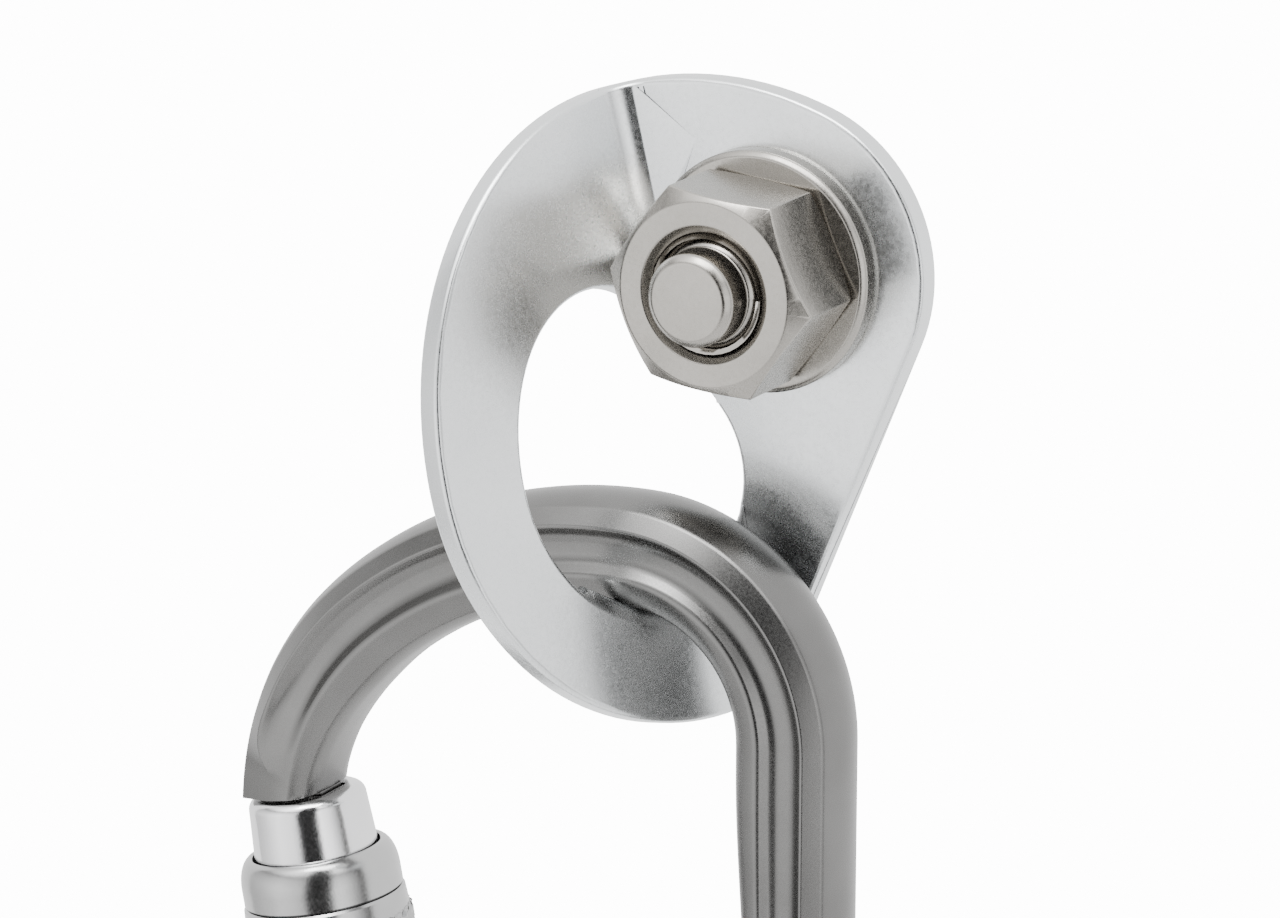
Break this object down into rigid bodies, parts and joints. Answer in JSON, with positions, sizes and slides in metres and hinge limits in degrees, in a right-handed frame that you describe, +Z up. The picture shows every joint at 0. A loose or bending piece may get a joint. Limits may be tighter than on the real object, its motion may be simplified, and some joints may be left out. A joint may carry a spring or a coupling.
{
  "type": "anchor hanger with screw-lock connector",
  "caption": "Bent plate anchor hanger on an expansion bolt with washer and nut, and a screw-lock D connector clipped through its eye.",
  "frame": {"origin": "where the bolt's axis crosses the wall plane, the back of the hanger", "axes": "+Z up, +Y into the wall along the bolt, +X to the right seen from the front"},
  "size_m": [0.0729, 0.1018, 0.1534],
  "materials": {
    "stainless": "turned and tumbled stainless steel, slightly warm and grainy",
    "plate_steel": "bright satin pressed plate with polished rims",
    "spring_steel": "drawn spring steel",
    "grey_aluminium": "grey satin anodised forging",
    "bright_aluminium": "bright polished gate head",
    "sleeve_aluminium": "grey satin anodised, turned and knurled"
  },
  "bodies": {
    "anchor": {"stud": "stainless"},
    "clip": {"expansion_clip": "spring_steel"},
    "washer": {"washer": "stainless"},
    "nut": {"nut": "stainless"},
    "hanger": {"hanger": "plate_steel"},
    "connector": {"frame": "grey_aluminium"},
    "gate": {"gate": "bright_aluminium", "gate_rivet": "stainless", "gate_spring": "spring_steel"},
    "plunger": {"gate_plunger": "stainless"},
    "sleeve_ring": {"sleeve_ring": "sleeve_aluminium"},
    "sleeve_barrel": {"sleeve_barrel": "sleeve_aluminium"}
  },
  "joints": [
    {"name": "clip_slide", "type": "slide", "parent": "anchor", "child": "clip", "axis": [0, 1, 0], "range_m": [-0.0005, 0.0005]},
    {"name": "washer_slide", "type": "slide", "parent": "anchor", "child": "washer", "axis": [0, -1, 0], "range_m": [0, 0.006]},
    {"name": "nut_turn", "type": "hinge", "parent": "washer", "child": "nut", "pos_m": [0, -0.0107, 0], "axis": [0, -1, 0], "range_deg": [0, 1240]},
    {"name": "hanger_swivel", "type": "hinge", "parent": "anchor", "child": "hanger", "pos_m": [0, -0.0015, 0], "axis": [0, -1, 0], "continuous": true},
    {"name": "connector_swing", "type": "hinge", "parent": "hanger", "child": "connector", "pos_m": [-0.006, -0.011, -0.0279], "axis": [-1, 0, 0], "range_deg": [0, 100]},
    {"name": "gate_hinge", "type": "hinge", "parent": "connector", "child": "gate", "pos_m": [-0.03876, -0.011, -0.11594], "axis": [0, 1, 0], "range_deg": [0, 25], "stiffness_Nm_per_rad": 0.3, "springref_deg": -57.3},
    {"name": "plunger_slide", "type": "slide", "parent": "gate", "child": "plunger", "axis": [-0.1822, 0, 0.9833], "range_m": [0, 0.00045], "deforming": ["gate_spring"]},
    {"name": "sleeve_slide", "type": "slide", "parent": "gate", "child": "sleeve_ring", "axis": [-0.1822, 0, 0.9833], "range_m": [0, 0.0085]},
    {"name": "barrel_turn", "type": "hinge", "parent": "sleeve_ring", "child": "sleeve_barrel", "pos_m": [-0.03876, -0.011, -0.11594], "axis": [-0.1822, 0, 0.9833], "range_deg": [0, 905]}
  ],
  "couplings": [
    {"joint": "nut_turn", "follows": "washer_slide", "rad_per_m": 3590.4},
    {"joint": "plunger_slide", "follows": "gate_hinge", "m_per_rad": 0.001},
    {"joint": "barrel_turn", "follows": "sleeve_slide", "rad_per_m": 1848}
  ]
}
